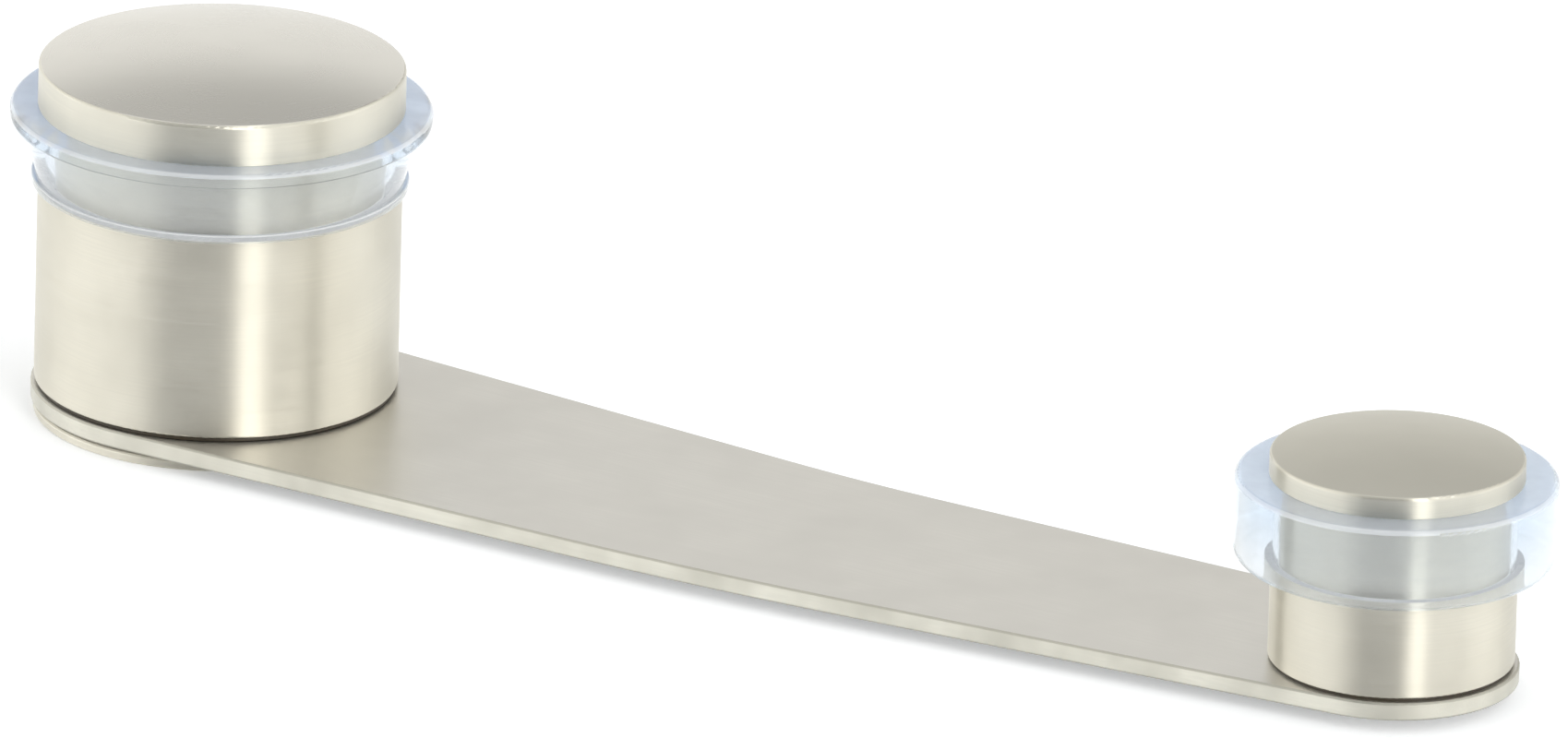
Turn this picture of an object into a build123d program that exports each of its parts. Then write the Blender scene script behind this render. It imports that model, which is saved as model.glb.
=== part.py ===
from build123d import *
import math
import os

# Floor door holder. A large post is screwed to the floor. A flat arm swings round under it and carries a
# small post, and the door leaf is held between the two posts, each of which has a clear bumper ring.
#
# Frame: millimetres, +Z up, origin on the large post's axis at floor level, +X along the arm towards the
# small post at rest.

# ---- overall sizes ----
POST_SPACING = 112.0            # from the large post's axis to the small post's
LARGE_POST_RADIUS = 15.0
SMALL_POST_RADIUS = 10.0
LARGE_WALL_HEIGHT = 17.15       # plain wall from the post's foot up to its bumper ring
SMALL_WALL_HEIGHT = 8.35
ARM_THICKNESS = 1.5

# ---- arm outline ----
# The edge on the -Y side leaves the large end parallel to X and bends in towards the small end halfway
# along. The edge on the +Y side leaves the small end parallel to X and bends out towards the large end.
ARM_LARGE_MARGIN = 0.25         # of the end rounds beyond the posts that stand on them
ARM_SMALL_MARGIN = 0.4
OUTER_BEND_RADIUS = 300.0
INNER_BEND_RADIUS = 150.0
EDGE_BREAK = 0.15               # on the arm and the base disc

# ---- pivot ----
BASE_DISC_THICKNESS = 0.8
HUB_RADIUS = 6.0
HUB_RIM = 1.0                   # left round the countersink, and the step where the hub is staked
HUB_HEAD_HEIGHT = 3.0           # above the set screw
FLOOR_SCREW_HOLE_RADIUS = 2.75
LOWER_WASHER_INSET = 0.4        # in from the post's wall
LOWER_WASHER_THICKNESS = 0.2
UPPER_WASHER_INSET = 0.2
UPPER_WASHER_THICKNESS = 0.25
BUSH_WALL = 1.0
PRESSURE_RING_THICKNESS = 0.8
SPRING_POCKET_WALL = 2.35
DISC_SPRING_THICKNESS = 0.7
DISC_SPRING_HEIGHT = 1.25       # of one spring as loaded
GLIDE_PAD_RADIUS = 6.0

# ---- caps ----
LARGE_CAP_OVERHANG = 0.1
LARGE_CAP_SIDE = 3.45           # plain side between bumper ring and rim
LARGE_DOME_RISE = 1.5
LARGE_SPIGOT_RADIUS = 9.0
SMALL_CAP_OVERHANG = 0.35
SMALL_CAP_SIDE = 1.75
SMALL_DOME_RISE = 1.2
SMALL_SPIGOT_RADIUS = 5.0
SMALL_SPIGOT_LENGTH = 5.7
CAP_RIM_ROUND = 0.3
POST_FOOT_ROUND = 0.2

# ---- bumper rings ----
LARGE_NECK_DEPTH = 1.7          # of the ring's seat, in from the post's wall
LARGE_RING_HEIGHT = 6.6
LARGE_RING_RIM_OVERHANG = 2.4   # widest, at the top
LARGE_RING_RIM_HEIGHT = 1.15
LARGE_RING_BEAD_OVERHANG = 0.55
LARGE_RING_BEAD_HEIGHT = 0.7
LARGE_RING_STEP = 0.3           # step from rim and bead to the flared wall
LARGE_RING_HOLLOW = 0.35        # how far the flared wall is hollowed
SMALL_NECK_DEPTH = 0.7
SMALL_RING_HEIGHT = 7.2
SMALL_RING_OVERHANG = 3.2       # at its corners, before they are rounded
SMALL_RING_WAIST = 0.15
SMALL_RING_TOP_ROUND = 0.5
SMALL_RING_BOTTOM_ROUND = 1.2

# ---- fasteners ----
CAP_SCREW_RADIUS = 2.5
CAP_SCREW_HEAD_RADIUS = 4.25
CAP_SCREW_HEAD_HEIGHT = 5.0
CAP_SCREW_LENGTH = 10.0
CAP_SCREW_SOCKET = 4.0          # across flats
CAP_SCREW_SOCKET_DEPTH = 2.5
CAP_SCREW_HEADROOM = 0.8        # over the hub
CAP_WEB = 3.0                   # web of the large post that the cap screw pulls against
LOCK_WASHER_OVERHANG = 0.35     # beyond the screw's head
LOCK_WASHER_THICKNESS = 1.2
LOCK_WASHER_SLIT = 0.6
SMALL_SCREW_RADIUS = 2.0
SMALL_SCREW_HEAD_RADIUS = 4.0
SMALL_SCREW_LENGTH = 16.0
SMALL_SCREW_SOCKET = 2.5
SMALL_SCREW_SOCKET_DEPTH = 1.4
SET_SCREW_RADIUS = 2.0
SET_SCREW_TIP_RADIUS = 1.25
SET_SCREW_TIP_LENGTH = 0.75
SET_SCREW_SOCKET = 2.0
SET_SCREW_SOCKET_DEPTH = 2.0
SET_SCREW_RECESS = 1.6          # of its outer end in the post's wall
SET_SCREW_MARGIN = 0.75         # wall between its hole and the spring pocket
SET_SCREW_BEARING = 120.0       # degrees from +X, on the side away from the door
HUB_GROOVE_DEPTH = 0.6

# ---- clearances ----
RUNNING_CLEARANCE = 0.05        # radial, arm bush on hub
AXIAL_PLAY = 0.05               # arm between its washers, post foot over its washer
LOOSE_CLEARANCE = 0.15          # washers and springs round the hub
SEAT_CLEARANCE = 0.1            # bumper rings round their necks
THREAD_CLEARANCE = 0.05
HOLE_CLEARANCE = 0.25           # screws through plain holes

# ---- radii, worked out ----
ARM_LARGE_END_RADIUS = LARGE_POST_RADIUS + ARM_LARGE_MARGIN
ARM_SMALL_END_RADIUS = SMALL_POST_RADIUS + ARM_SMALL_MARGIN
HUB_FOOT_RADIUS = HUB_RADIUS - HUB_RIM
FLOOR_SCREW_HEAD_RADIUS = HUB_RADIUS - HUB_RIM
BUSH_RADIUS = HUB_RADIUS + RUNNING_CLEARANCE + BUSH_WALL
SPRING_POCKET_RADIUS = LARGE_POST_RADIUS - SPRING_POCKET_WALL
DISC_SPRING_RADIUS = SPRING_POCKET_RADIUS - LOOSE_CLEARANCE
LARGE_NECK_RADIUS = LARGE_POST_RADIUS - LARGE_NECK_DEPTH
SMALL_NECK_RADIUS = SMALL_POST_RADIUS - SMALL_NECK_DEPTH
LARGE_RING_RIM_RADIUS = LARGE_POST_RADIUS + LARGE_RING_RIM_OVERHANG
LARGE_RING_BEAD_RADIUS = LARGE_POST_RADIUS + LARGE_RING_BEAD_OVERHANG
SMALL_RING_RADIUS = SMALL_POST_RADIUS + SMALL_RING_OVERHANG
LOCK_WASHER_RADIUS = CAP_SCREW_HEAD_RADIUS + LOCK_WASHER_OVERHANG

# ---- heights above the floor, worked out ----
LOWER_WASHER_TOP = BASE_DISC_THICKNESS + LOWER_WASHER_THICKNESS
ARM_BOTTOM = LOWER_WASHER_TOP + AXIAL_PLAY
ARM_TOP = ARM_BOTTOM + ARM_THICKNESS
UPPER_WASHER_BOTTOM = ARM_TOP + AXIAL_PLAY
UPPER_WASHER_TOP = UPPER_WASHER_BOTTOM + UPPER_WASHER_THICKNESS
PRESSURE_RING_TOP = UPPER_WASHER_TOP + PRESSURE_RING_THICKNESS
SPRINGS_MEET = PRESSURE_RING_TOP + DISC_SPRING_HEIGHT
SPRINGS_TOP = SPRINGS_MEET + DISC_SPRING_HEIGHT
SET_SCREW_HEIGHT = SPRINGS_TOP + SET_SCREW_MARGIN + SET_SCREW_RADIUS
HUB_TOP = SET_SCREW_HEIGHT + HUB_HEAD_HEIGHT
CAP_SCREW_BOTTOM = HUB_TOP + CAP_SCREW_HEADROOM
CAP_SCREW_SEAT = CAP_SCREW_BOTTOM + CAP_SCREW_HEAD_HEIGHT
LARGE_WEB_BOTTOM = CAP_SCREW_SEAT + LOCK_WASHER_THICKNESS
LARGE_WEB_TOP = LARGE_WEB_BOTTOM + CAP_WEB
LARGE_SPIGOT_BOTTOM = LARGE_WEB_TOP + AXIAL_PLAY
LARGE_FOOT = UPPER_WASHER_TOP + AXIAL_PLAY
LARGE_SEAT = LARGE_FOOT + LARGE_WALL_HEIGHT
LARGE_CAP_BOTTOM = LARGE_SEAT + LARGE_RING_HEIGHT
SMALL_FOOT = ARM_TOP + UPPER_WASHER_THICKNESS
SMALL_SEAT = SMALL_FOOT + SMALL_WALL_HEIGHT
SMALL_CAP_BOTTOM = SMALL_SEAT + SMALL_RING_HEIGHT
SMALL_SPIGOT_BOTTOM = SMALL_CAP_BOTTOM - SMALL_SPIGOT_LENGTH
SMALL_SCREW_HEAD_TOP = ARM_BOTTOM + SMALL_SCREW_HEAD_RADIUS - SMALL_SCREW_RADIUS


def tube(outer, inner, bottom, top):
    """A plain ring or washer about the Z axis."""
    section = Pos((outer + inner) / 2, (bottom + top) / 2) * Rectangle(outer - inner, top - bottom)
    return revolve(Plane.XZ * section, Axis.Z)


def rod(radius, bottom, top):
    """A plain cylinder about the Z axis."""
    return Pos(0, 0, (bottom + top) / 2) * Cylinder(radius, top - bottom)


def cone(bottom_radius, top_radius, bottom, top):
    """A plain cone about the Z axis."""
    return Pos(0, 0, (bottom + top) / 2) * Cone(bottom_radius, top_radius, top - bottom)


def turned(points):
    """A solid turned about the Z axis from the (radius, height) corners of its half section."""
    return revolve(Plane.XZ * make_face(Polyline(*points, close=True)), Axis.Z)


def hex_socket(across_flats, bottom, top):
    """The prism that a hexagon key's socket removes."""
    hexagon = RegularPolygon(across_flats / 2, 6, major_radius=False)
    return Pos(0, 0, bottom) * extrude(hexagon, top - bottom)


def on_small_axis(shape):
    return Pos(POST_SPACING, 0, 0) * shape


# ---- large post and its pivot ----

def base_disc():
    disc = tube(LARGE_POST_RADIUS, HUB_FOOT_RADIUS, 0, BASE_DISC_THICKNESS)
    rims = disc.edges().filter_by(GeomType.CIRCLE).sort_by(SortBy.RADIUS)[-2:]
    return chamfer(rims, EDGE_BREAK)


def pivot_hub():
    groove_radius = HUB_RADIUS - HUB_GROOVE_DEPTH
    groove_half_width = SET_SCREW_TIP_RADIUS + HOLE_CLEARANCE
    hub = rod(HUB_FOOT_RADIUS, 0, BASE_DISC_THICKNESS) + rod(HUB_RADIUS, BASE_DISC_THICKNESS, HUB_TOP)
    hub -= tube(
        HUB_RADIUS + 1,
        groove_radius,
        SET_SCREW_HEIGHT - groove_half_width,
        SET_SCREW_HEIGHT + groove_half_width,
    )
    hub -= rod(FLOOR_SCREW_HOLE_RADIUS, -1, HUB_TOP + 1)
    sink = FLOOR_SCREW_HEAD_RADIUS - FLOOR_SCREW_HOLE_RADIUS
    return hub - cone(FLOOR_SCREW_HOLE_RADIUS, FLOOR_SCREW_HEAD_RADIUS, HUB_TOP - sink, HUB_TOP)


def lower_glide_washer():
    rim = LARGE_POST_RADIUS - LOWER_WASHER_INSET
    return tube(rim, HUB_RADIUS + LOOSE_CLEARANCE, BASE_DISC_THICKNESS, LOWER_WASHER_TOP)


def upper_glide_washer():
    rim = LARGE_POST_RADIUS - UPPER_WASHER_INSET
    return tube(rim, HUB_RADIUS + LOOSE_CLEARANCE, UPPER_WASHER_BOTTOM, UPPER_WASHER_TOP)


def pressure_ring():
    return tube(DISC_SPRING_RADIUS, HUB_RADIUS + LOOSE_CLEARANCE, UPPER_WASHER_TOP, PRESSURE_RING_TOP)


def disc_spring(meeting_height, far_height):
    """A conical spring whose outer rim is at meeting_height and whose inner rim reaches far_height."""
    inner = HUB_RADIUS + LOOSE_CLEARANCE
    thickness = math.copysign(DISC_SPRING_THICKNESS, far_height - meeting_height)
    return turned([
        (DISC_SPRING_RADIUS, meeting_height),
        (DISC_SPRING_RADIUS, meeting_height + thickness),
        (inner, far_height),
        (inner, far_height - thickness),
    ])


def lower_disc_spring():
    return disc_spring(SPRINGS_MEET, PRESSURE_RING_TOP)


def upper_disc_spring():
    return disc_spring(SPRINGS_MEET, SPRINGS_TOP)


def radial(shape):
    """Turns a shape built along +Z, from the Z axis outwards, into the set screw's direction."""
    return Rot(0, 0, SET_SCREW_BEARING) * Pos(0, 0, SET_SCREW_HEIGHT) * Rot(0, 90, 0) * shape


def large_post_body():
    body = rod(LARGE_POST_RADIUS, LARGE_FOOT, LARGE_SEAT)
    rims = body.edges().filter_by(GeomType.CIRCLE).sort_by(Axis.Z)
    body = fillet(rims[0], POST_FOOT_ROUND)
    body += rod(LARGE_NECK_RADIUS, LARGE_SEAT, LARGE_CAP_BOTTOM)
    body -= rod(SPRING_POCKET_RADIUS, LARGE_FOOT - 1, SPRINGS_TOP)
    body -= rod(HUB_RADIUS + THREAD_CLEARANCE, SPRINGS_TOP - 1, HUB_TOP)
    body -= rod(LOCK_WASHER_RADIUS + HOLE_CLEARANCE, HUB_TOP - 1, LARGE_WEB_BOTTOM)
    body -= rod(CAP_SCREW_RADIUS + HOLE_CLEARANCE, LARGE_WEB_BOTTOM - 1, LARGE_WEB_TOP + 1)
    body -= rod(LARGE_SPIGOT_RADIUS + THREAD_CLEARANCE, LARGE_WEB_TOP, LARGE_CAP_BOTTOM + 1)
    return body - radial(rod(SET_SCREW_RADIUS + THREAD_CLEARANCE, 0, LARGE_POST_RADIUS + 1))


def post_set_screw():
    start = HUB_RADIUS - HUB_GROOVE_DEPTH
    cone_start = start + SET_SCREW_TIP_LENGTH
    cone_end = cone_start + SET_SCREW_RADIUS - SET_SCREW_TIP_RADIUS
    end = LARGE_POST_RADIUS - SET_SCREW_RECESS
    screw = rod(SET_SCREW_TIP_RADIUS, start, cone_start)
    screw += cone(SET_SCREW_TIP_RADIUS, SET_SCREW_RADIUS, cone_start, cone_end)
    screw += rod(SET_SCREW_RADIUS, cone_end, end)
    return radial(screw - hex_socket(SET_SCREW_SOCKET, end - SET_SCREW_SOCKET_DEPTH, end + 1))


def large_cap_lock_washer():
    bore = CAP_SCREW_RADIUS + THREAD_CLEARANCE
    washer = tube(LOCK_WASHER_RADIUS, bore, CAP_SCREW_SEAT, LARGE_WEB_BOTTOM)
    slit = Box(2 * LOCK_WASHER_RADIUS, LOCK_WASHER_SLIT, 4 * LOCK_WASHER_THICKNESS)
    return washer - Pos(LOCK_WASHER_RADIUS, 0, CAP_SCREW_SEAT) * slit


def large_cap_screw():
    screw = rod(CAP_SCREW_HEAD_RADIUS, CAP_SCREW_BOTTOM, CAP_SCREW_SEAT)
    screw += rod(CAP_SCREW_RADIUS, CAP_SCREW_SEAT, CAP_SCREW_SEAT + CAP_SCREW_LENGTH)
    socket_top = CAP_SCREW_BOTTOM + CAP_SCREW_SOCKET_DEPTH
    return screw - hex_socket(CAP_SCREW_SOCKET, CAP_SCREW_BOTTOM - 1, socket_top)


def domed_cap(radius, side, rise, spigot_radius, spigot_bottom, bottom):
    """A solid cap with a low dome, a softened rim and a spigot below."""
    rim = bottom + side
    sphere_radius = (radius**2 + rise**2) / (2 * rise)
    half_angle = math.asin(radius / sphere_radius) / 2
    crown_height = rim + rise - sphere_radius
    halfway = (sphere_radius * math.sin(half_angle), crown_height + sphere_radius * math.cos(half_angle))
    outline = Polyline((0, rim + rise), (0, bottom), (radius, bottom), (radius, rim))
    section = make_face([*outline.edges(), ThreePointArc((radius, rim), halfway, (0, rim + rise))])
    section = fillet(section.vertices().sort_by_distance((radius, rim))[0], CAP_RIM_ROUND)
    return revolve(Plane.XZ * section, Axis.Z) + rod(spigot_radius, spigot_bottom, bottom)


def large_post_cap():
    cap = domed_cap(
        LARGE_POST_RADIUS + LARGE_CAP_OVERHANG,
        LARGE_CAP_SIDE,
        LARGE_DOME_RISE,
        LARGE_SPIGOT_RADIUS,
        LARGE_SPIGOT_BOTTOM,
        LARGE_CAP_BOTTOM,
    )
    hole_top = CAP_SCREW_SEAT + CAP_SCREW_LENGTH + HOLE_CLEARANCE
    return cap - rod(CAP_SCREW_RADIUS + THREAD_CLEARANCE, LARGE_SPIGOT_BOTTOM - 1, hole_top)


def large_bumper_ring():
    inner = LARGE_NECK_RADIUS + SEAT_CLEARANCE
    bead_top = LARGE_SEAT + LARGE_RING_BEAD_HEIGHT
    rim_bottom = LARGE_CAP_BOTTOM - LARGE_RING_RIM_HEIGHT
    wall_foot = (LARGE_RING_BEAD_RADIUS - LARGE_RING_STEP, bead_top)
    wall_head = (LARGE_RING_RIM_RADIUS - LARGE_RING_STEP, rim_bottom)
    hollow = (
        (wall_foot[0] + wall_head[0]) / 2 - LARGE_RING_HOLLOW,
        (wall_foot[1] + wall_head[1]) / 2,
    )
    outline = Polyline(
        wall_head,
        (LARGE_RING_RIM_RADIUS, rim_bottom),
        (LARGE_RING_RIM_RADIUS, LARGE_CAP_BOTTOM),
        (inner, LARGE_CAP_BOTTOM),
        (inner, LARGE_SEAT),
        (LARGE_RING_BEAD_RADIUS, LARGE_SEAT),
        (LARGE_RING_BEAD_RADIUS, bead_top),
        wall_foot,
    )
    section = make_face([*outline.edges(), ThreePointArc(wall_foot, hollow, wall_head)])
    corners = section.vertices()
    rim_top = corners.sort_by_distance((LARGE_RING_RIM_RADIUS, LARGE_CAP_BOTTOM))[0]
    section = fillet(rim_top, LARGE_RING_STEP * 1.5)
    for corner in [
        (LARGE_RING_RIM_RADIUS, rim_bottom),
        (LARGE_RING_BEAD_RADIUS, LARGE_SEAT),
        (LARGE_RING_BEAD_RADIUS, bead_top),
    ]:
        section = fillet(section.vertices().sort_by_distance(corner)[0], LARGE_RING_STEP / 2)
    return revolve(Plane.XZ * section, Axis.Z)


# ---- arm and small post ----

def tangent_point(centre, radius, knee, turn):
    """Where a flank from the knee touches an end round; turn is +1 or -1 for the two possible sides."""
    towards_knee = knee - centre
    bearing = math.atan2(towards_knee.Y, towards_knee.X)
    swing = turn * math.acos(radius / towards_knee.length)
    return centre + Vector(math.cos(bearing + swing), math.sin(bearing + swing)) * radius


def arm_outline():
    large, small = Vector(0, 0), Vector(POST_SPACING, 0)
    outer_knee = Vector(POST_SPACING / 2, -ARM_LARGE_END_RADIUS)
    inner_knee = Vector(POST_SPACING / 2, ARM_SMALL_END_RADIUS)
    outer_large = tangent_point(large, ARM_LARGE_END_RADIUS, outer_knee, -1)
    outer_small = tangent_point(small, ARM_SMALL_END_RADIUS, outer_knee, +1)
    inner_small = tangent_point(small, ARM_SMALL_END_RADIUS, inner_knee, -1)
    inner_large = tangent_point(large, ARM_LARGE_END_RADIUS, inner_knee, +1)
    outline = make_face([
        Line(outer_large, outer_knee),
        Line(outer_knee, outer_small),
        ThreePointArc(outer_small, small + Vector(ARM_SMALL_END_RADIUS, 0), inner_small),
        Line(inner_small, inner_knee),
        Line(inner_knee, inner_large),
        ThreePointArc(inner_large, large - Vector(ARM_LARGE_END_RADIUS, 0), outer_large),
    ])
    outline = fillet(outline.vertices().sort_by_distance(outer_knee)[0], OUTER_BEND_RADIUS)
    return fillet(outline.vertices().sort_by_distance(inner_knee)[0], INNER_BEND_RADIUS)


def small_screw_space():
    """What the small post's countersunk screw needs cleared through the arm and the post's foot."""
    head = cone(
        SMALL_SCREW_HEAD_RADIUS + THREAD_CLEARANCE,
        SMALL_SCREW_RADIUS + THREAD_CLEARANCE,
        ARM_BOTTOM,
        SMALL_SCREW_HEAD_TOP,
    )
    return head + rod(SMALL_SCREW_RADIUS + HOLE_CLEARANCE, ARM_BOTTOM, SMALL_SPIGOT_BOTTOM)


def arm_plate():
    plate = extrude(Pos(0, 0, ARM_BOTTOM) * arm_outline(), ARM_THICKNESS)
    plate = chamfer(plate.faces().filter_by(Plane.XY).edges(), EDGE_BREAK)
    return plate - rod(BUSH_RADIUS, 0, ARM_TOP + 1) - on_small_axis(small_screw_space())


def arm_bush():
    return tube(BUSH_RADIUS, HUB_RADIUS + RUNNING_CLEARANCE, ARM_BOTTOM, ARM_TOP)


def small_post_washer():
    rim = SMALL_POST_RADIUS - UPPER_WASHER_INSET
    hole = SMALL_SCREW_HEAD_RADIUS + LOOSE_CLEARANCE
    return on_small_axis(tube(rim, hole, ARM_TOP, SMALL_FOOT))


def small_post_body():
    body = rod(SMALL_POST_RADIUS, SMALL_FOOT, SMALL_SEAT)
    rims = body.edges().filter_by(GeomType.CIRCLE).sort_by(Axis.Z)
    body = fillet(rims[0], POST_FOOT_ROUND)
    body += rod(SMALL_NECK_RADIUS, SMALL_SEAT, SMALL_CAP_BOTTOM)
    body -= small_screw_space()
    spigot_seat = SMALL_SPIGOT_BOTTOM - AXIAL_PLAY
    body -= rod(SMALL_SPIGOT_RADIUS + THREAD_CLEARANCE, spigot_seat, SMALL_CAP_BOTTOM + 1)
    return on_small_axis(body)


def small_post_cap():
    cap = domed_cap(
        SMALL_POST_RADIUS + SMALL_CAP_OVERHANG,
        SMALL_CAP_SIDE,
        SMALL_DOME_RISE,
        SMALL_SPIGOT_RADIUS,
        SMALL_SPIGOT_BOTTOM,
        SMALL_CAP_BOTTOM,
    )
    hole_top = ARM_BOTTOM + SMALL_SCREW_LENGTH + HOLE_CLEARANCE
    cap -= rod(SMALL_SCREW_RADIUS + THREAD_CLEARANCE, SMALL_SPIGOT_BOTTOM - 1, hole_top)
    return on_small_axis(cap)


def small_bumper_ring():
    inner = SMALL_NECK_RADIUS + SEAT_CLEARANCE
    middle = (SMALL_RING_RADIUS - SMALL_RING_WAIST, (SMALL_SEAT + SMALL_CAP_BOTTOM) / 2)
    top_corner = (SMALL_RING_RADIUS, SMALL_CAP_BOTTOM)
    bottom_corner = (SMALL_RING_RADIUS, SMALL_SEAT)
    outline = Polyline(top_corner, (inner, SMALL_CAP_BOTTOM), (inner, SMALL_SEAT), bottom_corner)
    section = make_face([*outline.edges(), ThreePointArc(bottom_corner, middle, top_corner)])
    section = fillet(section.vertices().sort_by_distance(top_corner)[0], SMALL_RING_TOP_ROUND)
    section = fillet(section.vertices().sort_by_distance(bottom_corner)[0], SMALL_RING_BOTTOM_ROUND)
    return on_small_axis(revolve(Plane.XZ * section, Axis.Z))


def small_post_screw():
    screw = cone(SMALL_SCREW_HEAD_RADIUS, SMALL_SCREW_RADIUS, ARM_BOTTOM, SMALL_SCREW_HEAD_TOP)
    screw += rod(SMALL_SCREW_RADIUS, SMALL_SCREW_HEAD_TOP, ARM_BOTTOM + SMALL_SCREW_LENGTH)
    screw -= hex_socket(SMALL_SCREW_SOCKET, ARM_BOTTOM - 1, ARM_BOTTOM + SMALL_SCREW_SOCKET_DEPTH)
    return on_small_axis(screw)


def arm_glide_pad():
    return on_small_axis(rod(GLIDE_PAD_RADIUS, 0, ARM_BOTTOM))


PIECES = [
    base_disc,
    pivot_hub,
    lower_glide_washer,
    upper_glide_washer,
    pressure_ring,
    lower_disc_spring,
    upper_disc_spring,
    large_post_body,
    post_set_screw,
    large_cap_lock_washer,
    large_cap_screw,
    large_bumper_ring,
    large_post_cap,
    arm_plate,
    arm_bush,
    small_post_washer,
    small_post_body,
    small_bumper_ring,
    small_post_cap,
    small_post_screw,
    arm_glide_pad,
]

os.makedirs("parts", exist_ok=True)
for piece in PIECES:
    export_step(piece(), f"parts/{piece.__name__}.step")
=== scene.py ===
import math

import bpy
from mathutils import Matrix, Vector


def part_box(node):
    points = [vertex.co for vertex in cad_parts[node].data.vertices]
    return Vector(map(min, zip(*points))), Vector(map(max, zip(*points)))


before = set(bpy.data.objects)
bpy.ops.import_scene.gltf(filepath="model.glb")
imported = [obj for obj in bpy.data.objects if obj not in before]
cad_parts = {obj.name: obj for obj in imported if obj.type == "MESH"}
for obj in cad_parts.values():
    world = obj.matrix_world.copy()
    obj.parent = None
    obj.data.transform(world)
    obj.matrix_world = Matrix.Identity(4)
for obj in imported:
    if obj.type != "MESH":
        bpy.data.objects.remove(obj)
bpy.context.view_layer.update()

MM = 0.001

# ---- camera: where the lens looks from, and what lies at the middle of the picture ----
CAMERA_AZIMUTH = math.radians(30.68)
CAMERA_ELEVATION = math.radians(20.2)
CAMERA_ROLL = math.radians(1.63)
CAMERA_DISTANCE = 2.64
SENSOR_WIDTH = 36.0             # in millimetres, as the lens is
CAMERA_LENS = 736.3
CLIP_START, CLIP_END = 0.1, 20.0
AIM_RIGHT = 46.77 * MM          # from the large post's axis at the arm's top, across the picture
AIM_UP = 0.86 * MM

# ---- floor ----
FLOOR_RADIUS = 3.0
FLOOR_SIDES = 96
FLOOR_DROP = 0.02 * MM          # keeps the floor off the underside of the base disc
FLOOR_COLOUR = (0.94, 0.955, 0.99)
FLOOR_ROUGHNESS = 0.7
FLOOR_GLOSS = 0.2
FLOOR_GLOW_COLOUR = (0.96, 0.98, 1.0)
FLOOR_GLOW = 0.18               # lifts the floor towards white and still leaves a contact shadow

# ---- studio: levels are brightness, bearings are degrees to the right of the camera ----
STUDIO_STRENGTH = 3.3           # the brightest wall; the shader holds shares of this
WALL_WARMTH = (1.0, 0.99, 0.95)
LOW_WALLS = [
    (-180, 1.02), (-162, 1.15), (-140, 1.5), (-120, 2.2), (-99, 3.0), (-66, 3.0), (-50, 2.6),
    (-40, 1.1), (-31, 0.03), (5, 0.03), (12, 0.4), (30, 1.3), (42, 2.8), (56, 2.8), (66, 2.5),
    (76, 3.3), (95, 3.3), (110, 2.4), (125, 1.3), (145, 0.9), (180, 1.02),
]
MIDDLE_WALLS = [
    (-180, 1.02), (-110, 1.25), (-60, 1.25), (-42, 0.5), (-32, 0.15), (5, 0.15), (14, 0.5),
    (40, 1.15), (100, 1.25), (145, 0.9), (180, 1.02),
]
UPPER_WALLS = [
    (-180, 0.52), (-160, 0.64), (-140, 0.7), (-110, 1.1), (-60, 1.1), (-40, 0.5), (-30, 0.35),
    (8, 0.35), (40, 1.1), (110, 1.1), (140, 0.52), (180, 0.52),
]
CEILING_SHARE = (0.36, 0.36, 0.355)
LOW_TO_MIDDLE = (0.19, 0.29)    # heights are the sine of the angle above the horizon
MIDDLE_TO_UPPER = (0.41, 0.52)
UPPER_TO_CEILING = (0.80, 0.88)
STRIP_SHARE = (1.42, 1.40, 1.33)
STRIP_BEARING = math.radians(24)
STRIP_HALF_WIDTH = math.radians(8.6)
STRIP_SOFT_EDGE = (0.85, 1.1)   # in half widths from its middle
STRIP_FOOT = (0.05, 0.12)
STRIP_TOP = (0.75, 0.85)

# ---- steel ----
STEEL_COLOUR = (0.73, 0.705, 0.62)
CAP_SIDE_COLOUR = (0.70, 0.68, 0.60)
# painted light and shade: the caps' crowns are the same steel as their sides, painted lighter and less warm
# on the large post and darker on the small post
LARGE_CROWN_PAINTED_LIGHT_COLOUR = (0.72, 0.705, 0.665)
SMALL_CROWN_PAINTED_SHADE_COLOUR = (0.595, 0.58, 0.52)
ARM_COLOUR = (0.735, 0.72, 0.685)
# painted shade and painted warm reflection: the arm's side faces are a darker, warmer copy of the arm's
# steel, and its broken edges are darker still
ARM_EDGE_PAINTED_SHADE_COLOUR = (0.67, 0.655, 0.58)
BROKEN_EDGE_PAINTED_SHADE = 0.72
WALL_ROUGHNESS = 0.45
CAP_SIDE_ROUGHNESS = 0.40
LARGE_CROWN_ROUGHNESS = 0.27
SMALL_CROWN_ROUGHNESS = 0.44
ARM_ROUGHNESS = 0.36
ARM_EDGE_ROUGHNESS = 0.4
BROKEN_EDGE_ROUGHNESS = 0.5
GRAIN_TURN = 0.25               # a quarter turn stretches the highlights across the grain
STREAK_SPACING = 0.22 * MM      # between visible turning or brushing marks
STREAK_SPREAD = 0.2 * MM        # how far the turning marks drift in one radian
MARK_DEPTH = 0.003 * MM
GRAIN_STRETCH = 60.0            # brushing marks, length to spacing
SMUDGE_SIZE = 7.0 * MM
EDGE_SOFTNESS = 0.12 * MM
WEAR_STARTS, WEAR_FULL = 0.995, 0.93    # cosine of the turn that softening gives the surface
WEAR_POLISH = 0.5               # how much smoother worn metal is, for each share that it is lighter
STREAK_MATT = 0.8               # change of roughness for each share of colour that the marks change
SMUDGE_MATT = 0.3

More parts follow.
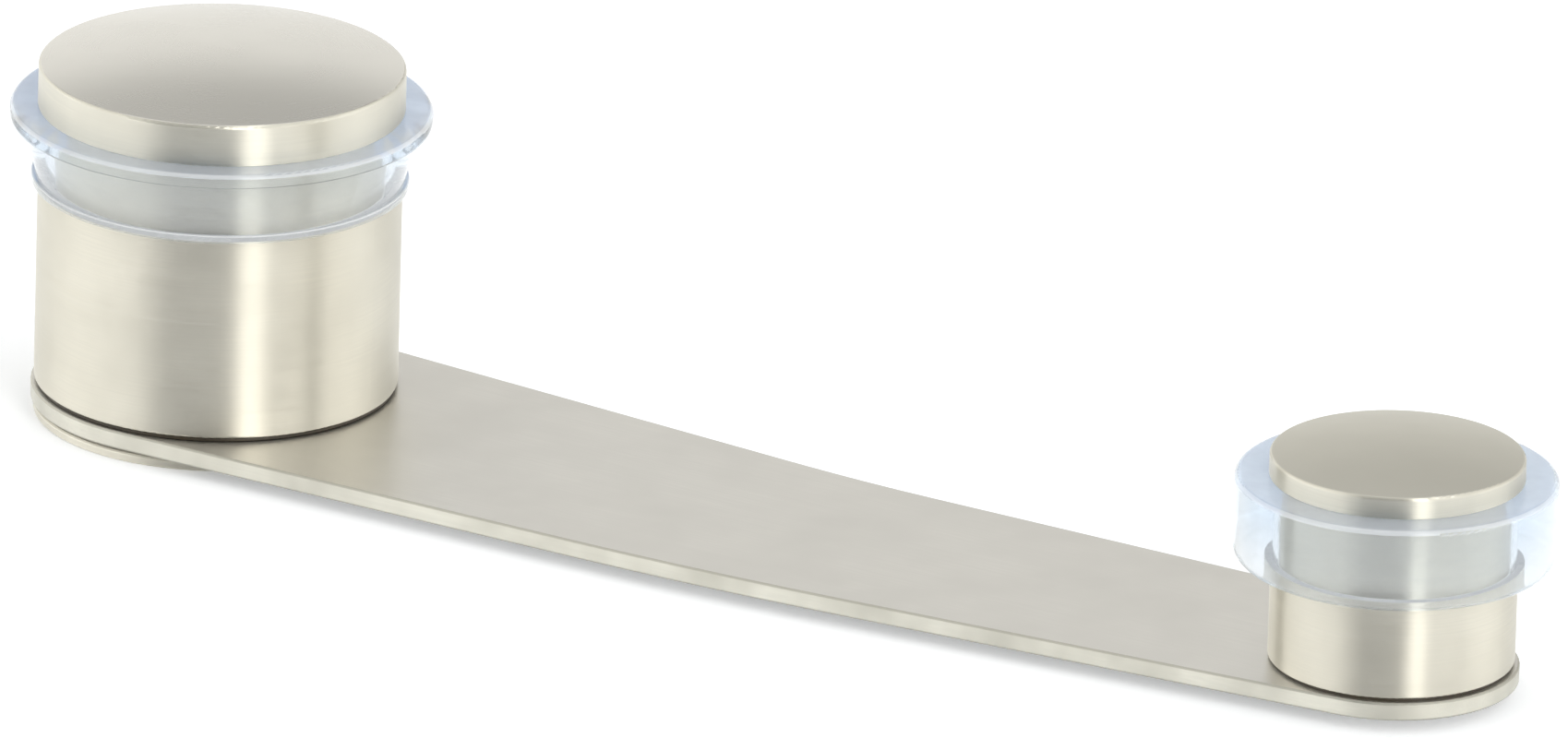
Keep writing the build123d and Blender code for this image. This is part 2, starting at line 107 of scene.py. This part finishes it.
# ---- bumper rings ----
RING_TINT = 115.0               # how strongly each metre of ring colours the light
RING_TINT_COLOUR = (0.80, 0.87, 0.94)
RING_BENDING = 1.045            # bends what is seen through the rings less than solid plastic would
RING_GLOSS_INDEX = 1.46
RING_GLOSS_ROUGHNESS = 0.12
RING_BUMP = 0.004 * MM
FLOW_SIZE = 2.2 * MM
FLOW_SQUEEZE = 3.0              # flow marks lie flat: this much wider than tall
DUST_SIZE = 0.3 * MM
RING_ROUGHNESS = (0.08, 0.16)
CLEARNESS_CHANGE = 0.02         # either way, from one flow mark to another
SEAT_GLOW = 0.16                # stands for light that a cloudy ring scatters onto the metal under it
SEAT_GLOW_COLOUR = (0.95, 0.97, 1.0)

# ---- small and mostly hidden pieces ----
PLAIN_GRAIN = 0.3 * MM
PLAIN_PATCHES = 12.0            # size of the broad patches, in grains
PLAIN_BUMP = 0.004 * MM
PLAIN_MATT_CHANGE = 0.06        # either way, from grain to grain
PLAIN_WORN_GAIN = 1.3           # how much lighter worn edges are than the lightest patches

# ---- where noise mostly lies, so that a pattern uses the whole of its range ----
STREAK_RANGE = (0.25, 0.75)
BROAD_RANGE = (0.3, 0.7)
SMUDGE_RANGE = (0.35, 0.7)

# ---- which way a face looks, by the height of its normal ----
LOOKS_UP = 0.9
SLANTS_UP = 0.25
LOOKS_FLAT = 0.95
LOOKS_SIDEWAYS = 0.5


# ---- shader nodes ----

def make(tree, kind, inputs=(), **settings):
    """Adds a shader node; inputs maps socket names or numbers to values, or to sockets that feed them."""
    made = tree.nodes.new("ShaderNode" + kind)
    for name, value in settings.items():
        setattr(made, name, value)
    for key, value in dict(inputs).items():
        if isinstance(value, bpy.types.NodeSocket):
            tree.links.new(value, made.inputs[key])
        else:
            made.inputs[key].default_value = value
    return made


def new_material(name):
    material = bpy.data.materials.new(name)
    material.use_nodes = True
    tree = material.node_tree
    tree.nodes.clear()
    return material, tree


def finish_material(tree, shader, **others):
    make(tree, "OutputMaterial", {"Surface": shader.outputs[0], **others})


def math_node(tree, operation, a, b=0.0):
    return make(tree, "Math", {0: a, 1: b}, operation=operation).outputs[0]


def vector_math(tree, operation, a, b):
    return make(tree, "VectorMath", {0: a, 1: b}, operation=operation).outputs


def ramp(tree, source, low, high, from_low=0.0, from_high=1.0):
    """A number that runs from low to high as the source runs from from_low to from_high."""
    made = make(tree, "MapRange", {0: source, 1: from_low, 2: from_high, 3: low, 4: high})
    return made.outputs[0]


def mix(tree, amount, first, second):
    """A colour that runs from first to second with an amount from 0 to 1. Both are colours or sockets."""
    ends = [end if isinstance(end, bpy.types.NodeSocket) else (*end, 1.0) for end in (first, second)]
    return make(tree, "Mix", {0: amount, 6: ends[0], 7: ends[1]}, data_type="RGBA").outputs[2]


def shade(colour, factor):
    return tuple(channel * factor for channel in colour)


def noise(tree, vector, size, detail=2.0, roughness=0.55):
    inputs = {"Vector": vector, "Scale": 1.0 / size, "Detail": detail, "Roughness": roughness}
    return make(tree, "TexNoise", inputs).outputs["Fac"]


def raised(tree, height, depth, **normal):
    """The surface's normal, bent as if a pattern of this height stood up by depth."""
    inputs = {"Height": height, "Distance": depth, "Strength": 1.0, **normal}
    return make(tree, "Bump", inputs).outputs[0]


# ---- places on the object that the patterns follow ----

def place(tree, origin=(0.0, 0.0, 0.0)):
    """Position on the piece at rest, in metres, measured from origin."""
    here = make(tree, "TexCoord").outputs["Object"]
    return vector_math(tree, "SUBTRACT", here, origin)[0]


def marks_along(tree, vector):
    """Fine marks, drawn out in the directions in which the vector changes little."""
    return noise(tree, vector, STREAK_SPACING, detail=4.0, roughness=0.65)


def turning_marks(tree, axis_x):
    """Fine rings round a vertical axis at x = axis_x, on walls and on crowned ends alike."""
    here = place(tree, (axis_x, 0.0, 0.0))
    flat = vector_math(tree, "MULTIPLY", here, (1.0, 1.0, 0.0))[0]
    radius = make(tree, "VectorMath", {0: flat}, operation="LENGTH").outputs["Value"]
    bearing = make(tree, "VectorMath", {0: flat}, operation="NORMALIZE").outputs[0]
    drift = make(tree, "VectorMath", {0: bearing, "Scale": STREAK_SPREAD}, operation="SCALE").outputs[0]
    height = make(tree, "SeparateXYZ", {0: here}).outputs["Z"]
    along = make(tree, "CombineXYZ", {"Z": math_node(tree, "SUBTRACT", height, radius)}).outputs[0]
    return marks_along(tree, vector_math(tree, "ADD", drift, along)[0]), here


def brushing_marks(tree):
    """Fine straight grain along the arm's length."""
    here = place(tree)
    squeezed = vector_math(tree, "MULTIPLY", here, (1.0 / GRAIN_STRETCH, 1.0, 1.0))[0]
    return marks_along(tree, squeezed), here


def edge_wear(tree):
    """(normal with softened edges, how worn the surface is: 1 at a sharp edge and 0 away from it). Satin
    steel also paints highlight and shade along its edges with it.
    """
    soft = make(tree, "Bevel", {"Radius": EDGE_SOFTNESS}, samples=4).outputs[0]
    sharp = make(tree, "NewGeometry").outputs["Normal"]
    agree = vector_math(tree, "DOT_PRODUCT", soft, sharp)["Value"]
    return soft, ramp(tree, agree, 0.0, 1.0, WEAR_STARTS, WEAR_FULL)


def round_the_axis(tree):
    return make(tree, "Tangent", direction_type="RADIAL", axis="Z").outputs[0]


def along_the_arm(tree):
    turned = make(
        tree,
        "VectorTransform",
        {0: (1.0, 0.0, 0.0)},
        vector_type="VECTOR",
        convert_from="OBJECT",
        convert_to="WORLD",
    )
    return turned.outputs[0]


# ---- materials ----

def satin_steel(
    name,
    marks,
    tangent,
    colour=STEEL_COLOUR,
    roughness=WALL_ROUGHNESS,
    anisotropy=1.0,
    contrast=0.06,
    smudge=0.05,
    depth=MARK_DEPTH,
    edge_wear_and_sheen_gain=1.18,
):
    """Satin stainless steel.

    marks(tree) gives its grain, and tangent(tree) the direction that the grain runs in. contrast and smudge
    are the shares by which fine marks and broad smudges change the colour. The edge gain is the brightness
    painted along sharp edges against the rest: above 1 it stands for wear and a painted highlight together,
    below 1 for painted shade.
    """
    material, tree = new_material(name)
    streaks, here = marks(tree)
    smudges = noise(tree, here, SMUDGE_SIZE)
    soft_normal, wear = edge_wear(tree)
    dark, light = shade(colour, 1.0 - contrast), shade(colour, 1.0 + contrast)
    grain = mix(tree, ramp(tree, streaks, 0.0, 1.0, *STREAK_RANGE), dark, light)
    smudged = ramp(tree, smudges, 0.0, 1.0, *SMUDGE_RANGE)
    toned = mix(tree, smudged, grain, shade(colour, 1.0 - smudge))
    # painted highlight and shade: sharp edges take the colour scaled by the edge gain, lighter for wear and
    # highlight, darker for shade
    edge_wear_and_sheen = mix(tree, wear, toned, shade(colour, edge_wear_and_sheen_gain))
    change = STREAK_MATT * contrast
    matt_streaks = ramp(tree, streaks, roughness - change, roughness + change, *STREAK_RANGE)
    matt_smudges = ramp(tree, smudges, -SMUDGE_MATT * smudge, SMUDGE_MATT * smudge, *BROAD_RANGE)
    matt = math_node(tree, "ADD", matt_streaks, matt_smudges)
    polish = math_node(tree, "MULTIPLY", wear, WEAR_POLISH * (edge_wear_and_sheen_gain - 1.0))
    shader = make(
        tree,
        "BsdfPrincipled",
        {
            "Base Color": edge_wear_and_sheen,
            "Metallic": 1.0,
            "Roughness": math_node(tree, "SUBTRACT", matt, polish),
            "Anisotropic": anisotropy,
            "Anisotropic Rotation": GRAIN_TURN,
            "Tangent": tangent(tree),
            "Normal": raised(tree, streaks, depth, Normal=soft_normal),
        },
    )
    finish_material(tree, shader)
    return material


def turned_steel(name, axis_x, **finish):
    return satin_steel(name, lambda tree: turning_marks(tree, axis_x), round_the_axis, **finish)


def clear_elastomer(name, axis_x, dark=(0.945, 0.95, 0.95), light=(0.975, 0.98, 0.98), clearness=0.91):
    """Clear, faintly blue soft plastic, a little cloudy, with flow marks from moulding."""
    material, tree = new_material(name)
    here = place(tree, (axis_x, 0.0, 0.0))
    squeezed = vector_math(tree, "MULTIPLY", here, (1.0, 1.0, FLOW_SQUEEZE))[0]
    flow = noise(tree, squeezed, FLOW_SIZE)
    dust = noise(tree, here, DUST_SIZE)
    least_clear, most_clear = clearness - CLEARNESS_CHANGE, clearness + CLEARNESS_CHANGE
    shader = make(
        tree,
        "BsdfPrincipled",
        {
            "Base Color": mix(tree, flow, dark, light),
            "Roughness": ramp(tree, dust, *RING_ROUGHNESS, *BROAD_RANGE),
            "IOR": RING_BENDING,
            "Transmission Weight": ramp(tree, flow, least_clear, most_clear, *BROAD_RANGE),
            "Coat Weight": 1.0,
            "Coat IOR": RING_GLOSS_INDEX,
            "Coat Roughness": RING_GLOSS_ROUGHNESS,
            "Normal": raised(tree, flow, RING_BUMP),
        },
    )
    tint = make(tree, "VolumeAbsorption", {"Color": (*RING_TINT_COLOUR, 1.0), "Density": RING_TINT})
    finish_material(tree, shader, Volume=tint.outputs[0])
    return material


def plain_finish(name, dark, light, roughness, metallic=0.0, painted_glow=0.0):
    """A fine-grained finish for the small and mostly hidden pieces. Its glow is painted light, which the
    ring seat uses for light that the cloudy ring scatters onto it.
    """
    material, tree = new_material(name)
    here = place(tree)
    fine = noise(tree, here, PLAIN_GRAIN, detail=4.0)
    broad = noise(tree, here, PLAIN_PATCHES * PLAIN_GRAIN)
    soft_normal, wear = edge_wear(tree)
    base = mix(tree, ramp(tree, broad, 0.0, 1.0, *BROAD_RANGE), dark, light)
    smoothest, roughest = roughness - PLAIN_MATT_CHANGE, roughness + PLAIN_MATT_CHANGE
    shader = make(
        tree,
        "BsdfPrincipled",
        {
            "Base Color": mix(tree, wear, base, shade(light, PLAIN_WORN_GAIN)),
            "Metallic": metallic,
            "Roughness": ramp(tree, fine, smoothest, roughest, *BROAD_RANGE),
            "Emission Color": (*SEAT_GLOW_COLOUR, 1.0),
            "Emission Strength": painted_glow,
            "Normal": raised(tree, fine, PLAIN_BUMP, Normal=soft_normal),
        },
    )
    finish_material(tree, shader)
    return material


# ---- which piece has which material ----

def middle(node):
    low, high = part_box(node)
    return (low + high) / 2


def post_axes():
    """(name, x of the axis) of each post."""
    return ("large", 0.0), ("small", middle("small_post_body").x)


def paint(material, *nodes):
    for node in nodes:
        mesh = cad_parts[node].data
        mesh.materials.clear()
        mesh.materials.append(material)


def paint_faces(material, node, chosen):
    """Gives the material to the faces of a painted node whose normal passes the test."""
    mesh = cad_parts[node].data
    mesh.materials.append(material)
    for face in mesh.polygons:
        if chosen(face.normal):
            face.material_index = len(mesh.materials) - 1


def looks_up(normal):
    return normal.z > LOOKS_UP


def paint_posts():
    walled = {"large": ("base_disc", "large_post_body"), "small": ("small_post_body",)}
    # the crown colours carry painted light on the large cap and painted shade on the small cap
    crowns = {
        "large": (LARGE_CROWN_PAINTED_LIGHT_COLOUR, LARGE_CROWN_ROUGHNESS),
        "small": (SMALL_CROWN_PAINTED_SHADE_COLOUR, SMALL_CROWN_ROUGHNESS),
    }
    for name, axis_x in post_axes():
        paint(turned_steel(f"satin_steel_{name}", axis_x), *walled[name])
        cap = f"{name}_post_cap"
        side = turned_steel(
            f"cap_steel_{name}",
            axis_x,
            colour=CAP_SIDE_COLOUR,
            roughness=CAP_SIDE_ROUGHNESS,
        )
        paint(side, cap)
        colour, roughness = crowns[name]
        crown = turned_steel(
            f"crown_steel_{name}",
            axis_x,
            colour=colour,
            roughness=roughness,
            anisotropy=0.0,
            contrast=0.008,
            smudge=0.03,
            depth=0.05 * MARK_DEPTH,
        )
        paint_faces(crown, cap, looks_up)


def paint_arm():
    brushed = {"marks": brushing_marks, "tangent": along_the_arm, "anisotropy": 0.5}
    # edge gains of 0.8 paint shade along the arm's sharp edges
    flat = satin_steel(
        "satin_steel_arm",
        colour=ARM_COLOUR,
        roughness=ARM_ROUGHNESS,
        contrast=0.04,
        smudge=0.04,
        edge_wear_and_sheen_gain=0.8,
        **brushed,
    )
    paint(flat, "arm_plate")
    # painted shade: the side faces take the darker, warmer edge colour
    edge = satin_steel(
        "arm_edge_shaded_steel",
        colour=ARM_EDGE_PAINTED_SHADE_COLOUR,
        roughness=ARM_EDGE_ROUGHNESS,
        smudge=0.25,
        edge_wear_and_sheen_gain=0.8,
        **brushed,
    )
    paint_faces(edge, "arm_plate", lambda normal: abs(normal.z) < LOOKS_SIDEWAYS)
    # painted shade: the broken edges take a darker copy of the edge colour
    broken_edge = satin_steel(
        "arm_broken_edge_shaded_steel",
        colour=shade(ARM_EDGE_PAINTED_SHADE_COLOUR, BROKEN_EDGE_PAINTED_SHADE),
        roughness=BROKEN_EDGE_ROUGHNESS,
        edge_wear_and_sheen_gain=1.0,
        **brushed,
    )
    paint_faces(broken_edge, "arm_plate", lambda normal: LOOKS_SIDEWAYS <= abs(normal.z) < LOOKS_FLAT)


def paint_rings():
    for name, axis_x in post_axes():
        ring = f"{name}_bumper_ring"
        paint(clear_elastomer(f"clear_elastomer_{name}", axis_x), ring)
        # painted highlight: the ring's slanted rim faces are whiter and cloudier than the rest of the ring,
        # for the bright lines along its rim
        painted_highlight_rim = clear_elastomer(
            f"rim_painted_highlight_{name}",
            axis_x,
            dark=(0.93, 0.96, 1.0),
            light=(0.98, 0.99, 1.0),
            clearness=0.5,
        )
        paint_faces(painted_highlight_rim, ring, lambda normal: SLANTS_UP < normal.z <= LOOKS_UP)
        top = clear_elastomer(
            f"frosted_ends_{name}",
            axis_x,
            dark=(0.88, 0.92, 0.98),
            light=(0.94, 0.96, 1.0),
            clearness=0.62,
        )
        paint_faces(top, ring, looks_up)
        # painted light: the post's top faces under the ring are pale and glowing, for light that the cloudy
        # ring scatters onto them
        painted_glow_seat = plain_finish(
            f"ring_seat_painted_glow_{name}",
            dark=(0.86, 0.86, 0.85),
            light=(0.92, 0.92, 0.91),
            roughness=0.6,
            painted_glow=SEAT_GLOW,
        )
        paint_faces(painted_glow_seat, f"{name}_post_body", looks_up)


def paint_inner_pieces():
    (_, large_axis), (_, small_axis) = post_axes()
    paint(
        turned_steel("plain_turned_steel", large_axis, roughness=0.28, anisotropy=0.6),
        "pivot_hub",
        "pressure_ring",
    )
    paint(
        turned_steel("small_screw_steel", small_axis, roughness=0.25, anisotropy=0.5),
        "small_post_screw",
    )
    paint(
        plain_finish(
            "oiled_spring_steel",
            dark=(0.20, 0.20, 0.22),
            light=(0.34, 0.34, 0.36),
            roughness=0.35,
            metallic=1.0,
        ),
        "lower_disc_spring",
        "upper_disc_spring",
        "large_cap_lock_washer",
    )
    paint(
        plain_finish(
            "black_oxide",
            dark=(0.016, 0.016, 0.019),
            light=(0.034, 0.034, 0.038),
            roughness=0.42,
            metallic=0.6,
        ),
        "post_set_screw",
        "large_cap_screw",
    )
    paint(
        plain_finish(
            "bearing_bronze",
            dark=(0.50, 0.31, 0.15),
            light=(0.66, 0.44, 0.23),
            roughness=0.36,
            metallic=1.0,
        ),
        "arm_bush",
    )
    paint(
        plain_finish(
            "dark_acetal",
            dark=(0.020, 0.015, 0.008),
            light=(0.040, 0.030, 0.016),
            roughness=0.4,
        ),
        "lower_glide_washer",
        "upper_glide_washer",
        "small_post_washer",
    )
    paint(
        plain_finish(
            "glide_pad_plastic",
            dark=(0.66, 0.65, 0.62),
            light=(0.76, 0.75, 0.72),
            roughness=0.5,
        ),
        "arm_glide_pad",
    )


# ---- floor, studio and camera ----

def floor():
    corners = [
        (FLOOR_RADIUS * math.cos(turn), FLOOR_RADIUS * math.sin(turn), -FLOOR_DROP)
        for turn in (2 * math.pi * side / FLOOR_SIDES for side in range(FLOOR_SIDES))
    ]
    mesh = bpy.data.meshes.new("floor")
    mesh.from_pydata(corners, [], [range(FLOOR_SIDES)])
    made = bpy.data.objects.new("floor", mesh)
    bpy.context.scene.collection.objects.link(made)
    material, tree = new_material("pale_floor")
    shader = make(
        tree,
        "BsdfPrincipled",
        {
            "Base Color": (*FLOOR_COLOUR, 1.0),
            "Roughness": FLOOR_ROUGHNESS,
            "Specular IOR Level": FLOOR_GLOSS,
            "Emission Color": (*FLOOR_GLOW_COLOUR, 1.0),
            "Emission Strength": FLOOR_GLOW,
        },
    )
    finish_material(tree, shader)
    mesh.materials.append(material)


def around(tree, bearing, levels):
    """A warm grey that follows (bearing in degrees, brightness) pairs."""
    turn = ramp(tree, bearing, 0.0, 1.0, -math.pi, math.pi)
    made = make(tree, "ValToRGB", {0: turn})
    stops = made.color_ramp.elements
    while len(stops) < len(levels):
        stops.new(0.5)
    for stop, (degrees, level) in zip(stops, levels):
        stop.position = (degrees + 180) / 360
        stop.color = (*shade(WALL_WARMTH, level / STUDIO_STRENGTH), 1.0)
    return made.outputs[0]


def studio_walls(tree, bearing, height):
    """Walls that differ at three heights, and a ceiling.

    Near the horizon the sides are bright and the camera's side is dark. Higher up the sides are dimmer, and
    behind the object the backdrop ends where the upper part starts.
    """
    walls = around(tree, bearing, LOW_WALLS)
    above = (
        (around(tree, bearing, MIDDLE_WALLS), LOW_TO_MIDDLE),
        (around(tree, bearing, UPPER_WALLS), MIDDLE_TO_UPPER),
        (CEILING_SHARE, UPPER_TO_CEILING),
    )
    for part, edge in above:
        walls = mix(tree, ramp(tree, height, 0.0, 1.0, *edge), walls, part)
    return walls


def strip_light(tree, bearing, height):
    """How much of the upright strip light shows, from 0 to 1. It stands to the right of the camera."""
    offset = math_node(tree, "ABSOLUTE", math_node(tree, "SUBTRACT", bearing, STRIP_BEARING))
    inner, outer = (STRIP_HALF_WIDTH * share for share in STRIP_SOFT_EDGE)
    across = ramp(tree, offset, 1.0, 0.0, inner, outer)
    above_foot = ramp(tree, height, 0.0, 1.0, *STRIP_FOOT)
    below_top = ramp(tree, height, 1.0, 0.0, *STRIP_TOP)
    return math_node(tree, "MULTIPLY", across, math_node(tree, "MULTIPLY", above_foot, below_top))


def studio(back, right):
    """A pale studio in the world's light, which the camera itself sees as plain white."""
    world = bpy.data.worlds.new("studio")
    bpy.context.scene.world = world
    world.use_nodes = True
    tree = world.node_tree
    tree.nodes.clear()
    towards = make(tree, "TexCoord").outputs["Generated"]
    to_camera = vector_math(tree, "DOT_PRODUCT", towards, (back.x, back.y, 0.0))["Value"]
    to_right = vector_math(tree, "DOT_PRODUCT", towards, (right.x, right.y, 0.0))["Value"]
    bearing = math_node(tree, "ARCTAN2", to_right, to_camera)
    height = make(tree, "SeparateXYZ", {0: towards}).outputs["Z"]
    walls = studio_walls(tree, bearing, height)
    lit = mix(tree, strip_light(tree, bearing, height), walls, STRIP_SHARE)
    behind = make(tree, "Background", {"Color": lit, "Strength": STUDIO_STRENGTH})
    plain = make(tree, "Background", {"Color": (1.0, 1.0, 1.0, 1.0), "Strength": 1.0})
    seen = make(tree, "LightPath").outputs["Is Camera Ray"]
    both = make(tree, "MixShader", {0: seen, 1: behind.outputs[0], 2: plain.outputs[0]})
    make(tree, "OutputWorld", {"Surface": both.outputs[0]})


def camera_axes():
    """(right, up, back) of the camera, with its roll."""
    azimuth, elevation = CAMERA_AZIMUTH, CAMERA_ELEVATION
    back = Vector((
        math.sin(azimuth) * math.cos(elevation),
        -math.cos(azimuth) * math.cos(elevation),
        math.sin(elevation),
    ))
    level = Vector((math.cos(azimuth), math.sin(azimuth), 0.0))
    upright = back.cross(level)
    right = level * math.cos(CAMERA_ROLL) + upright * math.sin(CAMERA_ROLL)
    return right, back.cross(right), back


def camera():
    right, up, back = camera_axes()
    arm_top = Vector((0.0, 0.0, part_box("arm_plate")[1].z))
    place_of_lens = arm_top + right * AIM_RIGHT + up * AIM_UP + back * CAMERA_DISTANCE
    data = bpy.data.cameras.new("camera")
    data.sensor_width = SENSOR_WIDTH
    data.lens = CAMERA_LENS
    data.clip_start = CLIP_START
    data.clip_end = CLIP_END
    made = bpy.data.objects.new("camera", data)
    turned = Matrix((right, up, back)).transposed().to_4x4()
    made.matrix_world = Matrix.Translation(place_of_lens) @ turned
    bpy.context.scene.collection.objects.link(made)
    bpy.context.scene.camera = made
    return right, back


paint_posts()
paint_arm()
paint_rings()
paint_inner_pieces()
floor()
camera_right, camera_back = camera()
studio(camera_back.normalized(), camera_right.normalized())
bpy.context.scene.view_settings.view_transform = "Standard"
